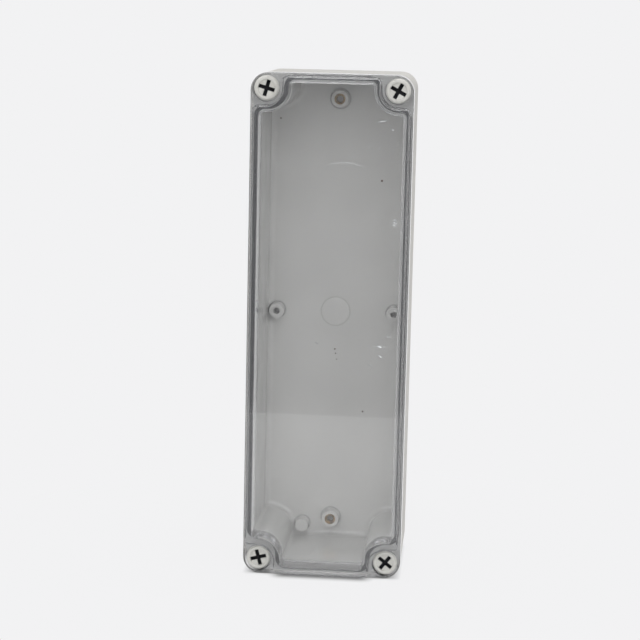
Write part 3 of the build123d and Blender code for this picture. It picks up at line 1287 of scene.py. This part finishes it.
@dataclass
class Studio:
    """Camera, pale floor, soft lamps and the dim room that the lid mirrors. Sizes are in metres, angles in degrees."""

    lens: float = 107.016
    sensor: float = 36.0
    clip: tuple[float, float] = (0.05, 50.0)
    eye: Point = (0.069098, -0.948521, 0.280942)
    pitch: float = 9.3015
    yaw: float = 4.5052
    roll: float = 1.2994
    backdrop: str = "#F2F2F3"
    world_level: float = 0.53
    floor_size: float = 8.0
    floor_front: float = -0.42
    floor_drop: float = 0.0001
    sweep_rise: Point = (0.0, 0.6, 4.0)
    sweep_bend: float = 2.5
    sweep_steps: int = 24
    paper: tuple[str, str] = ("#EDEDED", "#F0F0F0")
    fibre: float = 0.04
    # Reach of the ambient occlusion that paints the contact shadow into the glowing paper.
    painted_shadow_reach: float = 0.004
    shadow_reach: tuple[float, float] = (0.03, 0.2)
    glow_at_box: float = 0.95
    room_size: tuple[float, float] = (6.0, 1.6)
    room_place: Point = (0.0, -1.6, -0.2)
    room_tones: tuple[str, str] = ("#848486", "#8E8E90")
    room_patch: float = 0.5
    lamps: tuple[Lamp, ...] = (
        Lamp("front_top", (0.1, -0.9, 0.95), 0.6, 2.3),
        Lamp("front_low", (-0.05, -1.3, 0.6), 0.5, 1.7),
        Lamp("top", (0.0, 0.25, 1.3), 0.8, 4.4),
        Lamp("side_left", (-0.9, -0.9, 0.5), 0.5, 1.6),
        Lamp("key_right", (0.75, -0.85, 0.62), 0.6, 2.4),
    )

    def camera(self) -> None:
        """Place the camera at the photograph's angle."""
        pitch, yaw, roll = (math.radians(angle) for angle in (self.pitch, self.yaw, self.roll))
        ahead = Vector((-math.sin(yaw) * math.cos(pitch), math.cos(yaw) * math.cos(pitch), -math.sin(pitch)))
        right = Vector((math.cos(yaw), math.sin(yaw), 0))
        up = right.cross(ahead)
        side = right * math.cos(roll) + up * math.sin(roll)
        top = up * math.cos(roll) - right * math.sin(roll)
        data = bpy.data.cameras.new("camera")
        data.lens = self.lens
        data.sensor_width = self.sensor
        data.clip_start, data.clip_end = self.clip
        camera = bpy.data.objects.new("camera", data)
        bpy.context.scene.collection.objects.link(camera)
        axes = Matrix((side, top, -ahead)).transposed().to_4x4()
        camera.matrix_world = Matrix.Translation(self.eye) @ axes
        bpy.context.scene.camera = camera

    def seen(self, tree: Tree) -> Socket:
        """Add the test for rays that show the background.

        Args:
            tree: The node tree that takes the test.

        Returns:
            An output that is one for camera, glossy and transmission rays.
        """
        rays = add_node(tree, "LightPath").outputs
        return largest(tree, [rays["Is Camera Ray"], rays["Is Glossy Ray"], rays["Is Transmission Ray"]])

    def world(self) -> None:
        """Make the world pale where it is seen and soft grey as a light."""
        world = bpy.data.worlds.new("studio")
        bpy.context.scene.world = world
        world.use_nodes = True
        tree = world.node_tree
        tree.nodes.clear()
        light = add_node(tree, "Background", {"Color": linear("#FFFFFF"), "Strength": self.world_level})
        pale = add_node(tree, "Background", {"Color": linear(self.backdrop), "Strength": 1.0})
        mix = add_node(tree, "MixShader", links={0: self.seen(tree), 1: light, 2: pale})
        add_node(tree, "OutputWorld", links={"Surface": mix})

    def sweep_mesh(self) -> Piece:
        """Model the floor: a plane whose far edge is drawn up behind the box and bent round.

        Returns:
            The floor, at its place.
        """
        far = 1.0  # anything beyond this belongs to the far edge
        low = 0.1  # and below this to the floor
        bpy.ops.object.select_all(action="DESELECT")
        middle = (0, self.floor_size / 2 + self.floor_front, -self.floor_drop)
        bpy.ops.mesh.primitive_plane_add(size=self.floor_size, location=middle)
        sweep = bpy.context.object
        sweep.name = "floor_sweep"
        bpy.ops.object.transform_apply(location=True, rotation=False, scale=False)
        bpy.ops.object.mode_set(mode="EDIT")
        bpy.ops.mesh.select_all(action="DESELECT")
        bm = bmesh.from_edit_mesh(sweep.data)
        for edge in bm.edges:
            if all(v.co.y > far for v in edge.verts):
                edge.select_set(True)
        bmesh.update_edit_mesh(sweep.data)
        bpy.ops.mesh.extrude_region_move(TRANSFORM_OT_translate={"value": self.sweep_rise})
        bpy.ops.mesh.select_all(action="DESELECT")
        bm = bmesh.from_edit_mesh(sweep.data)
        for edge in bm.edges:
            if all(v.co.y > far and v.co.z < low for v in edge.verts):
                edge.select_set(True)
        bpy.ops.mesh.bevel(offset=self.sweep_bend, segments=self.sweep_steps)
        bpy.ops.mesh.select_all(action="SELECT")
        bpy.ops.mesh.normals_make_consistent(inside=False)
        bpy.ops.object.mode_set(mode="OBJECT")
        smooth(sweep, FINE)
        return sweep

    def floor(self) -> None:
        """Lay a pale paper floor. It ends in front of the box, and the lid mirrors that edge as in the photograph."""
        sweep = self.sweep_mesh()
        # Paper that shows as the plain backdrop and keeps the box's shadow. Near the box, ambient occlusion dims its
        # glow: a painted contact shadow.
        material, tree, place = new_material("studio paper, white")
        fibre = add_node(tree, "TexNoise", {"Scale": 1 / self.fibre, "Detail": 4.0}, {"Vector": place})
        tone = add_node(tree, "ValToRGB", {"stops": tones(*self.paper, low=0.3, high=0.7)}, {0: fibre})
        # Ambient occlusion dims the glowing paper near the box: a painted contact shadow.
        painted_contact_shadow = add_node(tree, "AmbientOcclusion", {"samples": 12, "Distance": self.painted_shadow_reach})
        paper = add_node(tree, "BsdfDiffuse", links={"Color": tone})
        painted_shadow_dimming = add_node(tree, "Math", {"operation": "POWER", 1: 0.5}, {0: painted_contact_shadow.outputs["AO"]})
        glow = add_node(tree, "Emission", {"Color": linear(self.backdrop)}, {"Strength": painted_shadow_dimming})
        away = add_node(tree, "VectorMath", {"operation": "LENGTH"}, {0: place}).outputs["Value"]
        close, clear = self.shadow_reach
        growth = {"From Min": close, "From Max": clear, "To Min": self.glow_at_box, "To Max": 1.0}
        spread = add_node(tree, "MapRange", {"interpolation_type": "SMOOTHSTEP", **growth}, {"Value": away})
        part = add_node(tree, "Math", {"operation": "MULTIPLY"}, {0: self.seen(tree), 1: spread})
        mix = add_node(tree, "MixShader", links={0: part, 1: paper, 2: glow})
        add_node(tree, "OutputMaterial", links={"Surface": mix})
        sweep.data.materials.append(material)

    def room(self) -> None:
        """Stand the dim room behind the camera, which only mirrors show."""
        bpy.ops.object.select_all(action="DESELECT")
        bpy.ops.mesh.primitive_plane_add(size=1, location=(0, 0, 0))
        wall = bpy.context.object
        wall.name = "dim_room"
        bpy.ops.object.mode_set(mode="EDIT")
        bpy.ops.transform.resize(value=(*self.room_size, 1))
        bpy.ops.transform.rotate(value=math.pi / 2, orient_axis="X", center_override=(0, 0, 0))
        bpy.ops.transform.translate(value=self.room_place)
        bpy.ops.object.mode_set(mode="OBJECT")
        # A grey wall in weak light, slightly uneven. Rays that have met no mirror pass through it.
        material, tree, place = new_material("room, grey in weak light")
        cloud = add_node(tree, "TexNoise", {"Scale": 1 / self.room_patch, "Detail": 2.0}, {"Vector": place})
        tone = add_node(tree, "ValToRGB", {"stops": tones(*self.room_tones, low=0.3, high=0.7)}, {0: cloud})
        paint = add_node(tree, "Emission", links={"Color": tone})
        clear = add_node(tree, "BsdfTransparent")
        mirrors = add_node(tree, "LightPath").outputs["Glossy Depth"]
        mirrored = add_node(tree, "Math", {"operation": "GREATER_THAN", 1: 0.5}, {0: mirrors})
        mix = add_node(tree, "MixShader", links={0: mirrored, 1: clear, 2: paint})
        add_node(tree, "OutputMaterial", links={"Surface": mix})
        wall.data.materials.append(material)

    def build(self) -> None:
        """Build the whole studio."""
        self.camera()
        self.world()
        self.floor()
        self.room()
        for lamp in self.lamps:
            lamp.add()
        bpy.context.scene.view_settings.view_transform = "Standard"


def main() -> None:
    logging.basicConfig(level=logging.INFO, format="%(message)s")
    Studio().build()
    for maker in (BaseTray(), LidCover(), Seal(), Screws(), Inserts()):
        for piece in maker.build():
            log.info("%s: %s, %d faces", type(maker).__name__, piece.name, len(piece.data.polygons))


if __name__ == "__main__":
    main()
